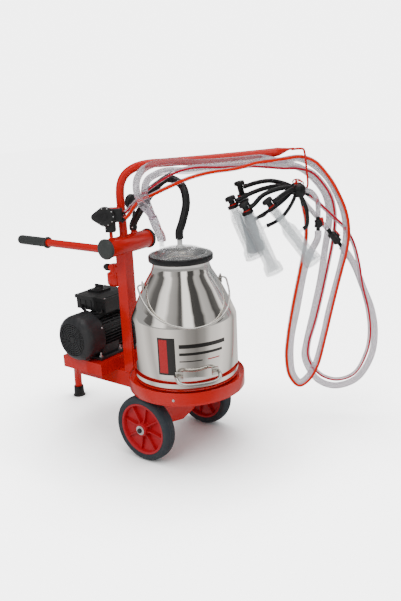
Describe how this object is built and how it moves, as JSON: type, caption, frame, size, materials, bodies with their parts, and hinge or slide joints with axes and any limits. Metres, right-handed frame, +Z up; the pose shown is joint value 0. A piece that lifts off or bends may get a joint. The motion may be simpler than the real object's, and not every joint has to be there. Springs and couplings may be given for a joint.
{
  "type": "milking machine",
  "caption": "Wheeled portable milking machine: steel milk pail on a tray, vacuum tank, motor-driven pump, pulsator, long hoses over an arm and two hanging clusters of teat cups",
  "frame": {"origin": "centre of the footprint of everything but the free hoses, on the floor", "axes": "+Z up; +Y runs rearward to the motor and the handle grip; +X runs along the axle, to the right when seen from the pail end with the handle beyond"},
  "size_m": [0.7107, 1.1826, 0.9305],
  "materials": {
    "red_paint": "glossy powder coat",
    "rim_plastic": "moulded red plastic",
    "tyre_rubber": "moulded solid rubber",
    "black_rubber": "smooth moulded rubber",
    "zinc_steel": "zinc plated",
    "pail_steel": "polished stainless steel",
    "black_plastic": "moulded plastic",
    "motor_paint": "cast, painted dark grey",
    "pump_iron": "machined casting",
    "rotor_steel": "turned steel",
    "clear_hose": "translucent flexible hose",
    "pulse_hose": "translucent hose with a red stripe",
    "clear_plastic": "transparent moulding",
    "lever_plastic": "moulded red plastic"
  },
  "bodies": {
    "frame": {"chassis": "red_paint", "mast": "red_paint", "tray": "red_paint", "axle_carrier": "red_paint", "stand_leg": "red_paint", "vacuum_tank": "red_paint", "handle_tube": "red_paint", "hose_arm": "red_paint", "regulator_body": "red_paint", "leg_foot": "black_rubber", "tank_cap_left": "black_rubber", "tank_cap_right": "black_rubber", "handle_grip": "black_rubber", "vacuum_hose": "black_rubber", "claw_1": "black_rubber", "claw_2": "black_rubber", "cup_liner_1": "black_rubber", "cup_liner_2": "black_rubber", "cup_liner_3": "black_rubber", "cup_liner_4": "black_rubber", "axle": "zinc_steel", "fan_cover": "black_plastic", "terminal_box": "black_plastic", "pulsator_body": "black_plastic", "pulsator_cover": "black_plastic", "gauge_case": "black_plastic", "inline_valve_1": "black_plastic", "inline_valve_2": "black_plastic", "motor_housing": "motor_paint", "pump_body": "pump_iron", "milk_hose_1": "clear_hose", "milk_hose_2": "clear_hose", "pulse_hose_1": "pulse_hose", "pulse_hose_2": "pulse_hose", "cup_shell_1": "clear_plastic", "cup_shell_2": "clear_plastic", "cup_shell_3": "clear_plastic", "cup_shell_4": "clear_plastic"},
    "wheel_left": {"rim_left": "rim_plastic", "tyre_left": "tyre_rubber"},
    "wheel_right": {"rim_right": "rim_plastic", "tyre_right": "tyre_rubber"},
    "rotor": {"motor_rotor": "rotor_steel", "motor_fan": "black_plastic", "pump_rotor": "rotor_steel"},
    "pail": {"pail_body": "pail_steel", "pail_handle": "pail_steel", "lid_gasket": "black_rubber"},
    "bail": {"pail_bail": "pail_steel"},
    "lid_set": {"lid": "clear_plastic", "milk_cuff": "clear_hose"},
    "switch": {"switch_knob": "black_plastic"},
    "lever_1": {"valve_lever_1": "lever_plastic"},
    "lever_2": {"valve_lever_2": "lever_plastic"},
    "needle": {"gauge_needle": "lever_plastic"},
    "regulator_knob": {"regulator_cap": "black_plastic"},
    "shutoff_1": {"cup_knob_1": "black_plastic"},
    "shutoff_2": {"cup_knob_2": "black_plastic"},
    "shutoff_3": {"cup_knob_3": "black_plastic"},
    "shutoff_4": {"cup_knob_4": "black_plastic"}
  },
  "joints": [
    {"name": "wheel_left_spin", "type": "hinge", "parent": "frame", "child": "wheel_left", "pos_m": [-0.274, -0.1569, 0.106], "axis": [1, 0, 0], "continuous": true},
    {"name": "wheel_right_spin", "type": "hinge", "parent": "frame", "child": "wheel_right", "pos_m": [0.032, -0.1569, 0.106], "axis": [1, 0, 0], "continuous": true},
    {"name": "rotor_spin", "type": "hinge", "parent": "frame", "child": "rotor", "pos_m": [-0.121, 0.1701, 0.331], "axis": [1, 0, 0], "continuous": true},
    {"name": "pail_lift", "type": "slide", "parent": "frame", "child": "pail", "axis": [0, 0, 1], "range_m": [0, 0.05], "deforming": ["vacuum_hose", "milk_hose_1", "milk_hose_2"]},
    {"name": "lid_lift", "type": "slide", "parent": "pail", "child": "lid_set", "axis": [0, 0, 1], "range_m": [0, 0.03], "deforming": ["vacuum_hose", "milk_hose_1", "milk_hose_2"]},
    {"name": "bail_swing", "type": "hinge", "parent": "pail", "child": "bail", "pos_m": [-0.121, -0.2099, 0.55], "axis": [-0.7705, 0.6374, 0], "range_deg": [0, 85]},
    {"name": "switch_turn", "type": "hinge", "parent": "frame", "child": "switch", "pos_m": [-0.073, 0.2061, 0.4623], "axis": [0, 0, 1], "range_deg": [0, 90]},
    {"name": "shutoff_1_turn", "type": "hinge", "parent": "frame", "child": "shutoff_1", "pos_m": [0.08139, -0.31231, 0.76338], "axis": [0.2342, -0.305, -0.9231], "range_deg": [0, 90]},
    {"name": "shutoff_2_turn", "type": "hinge", "parent": "frame", "child": "shutoff_2", "pos_m": [0.08817, -0.25548, 0.7788], "axis": [0.2154, -0.2804, -0.9354], "range_deg": [0, 90]},
    {"name": "shutoff_3_turn", "type": "hinge", "parent": "frame", "child": "shutoff_3", "pos_m": [0.11451, -0.37678, 0.77267], "axis": [0.354, -0.4609, -0.8138], "range_deg": [0, 90]},
    {"name": "shutoff_4_turn", "type": "hinge", "parent": "frame", "child": "shutoff_4", "pos_m": [0.16579, -0.24, 0.81747], "axis": [0.1313, -0.171, -0.9765], "range_deg": [0, 90]},
    {"name": "lever_1_turn", "type": "hinge", "parent": "frame", "child": "lever_1", "pos_m": [0.24918, -0.50288, 0.688], "axis": [0.6091, -0.7931, 0], "range_deg": [0, 90]},
    {"name": "lever_2_turn", "type": "hinge", "parent": "frame", "child": "lever_2", "pos_m": [0.29772, -0.5349, 0.64781], "axis": [-0.4817, 0.6272, -0.612], "range_deg": [0, 90]},
    {"name": "needle_sweep", "type": "hinge", "parent": "frame", "child": "needle", "pos_m": [-0.047, 0.0461, 0.772], "axis": [0, -1, 0], "range_deg": [0, 270], "stiffness_Nm_per_rad": 0.0005},
    {"name": "regulator_turn", "type": "hinge", "parent": "frame", "child": "regulator_knob", "pos_m": [-0.121, 0.0964, 0.561], "axis": [0, 1, 0], "range_deg": [0, 360]}
  ]
}
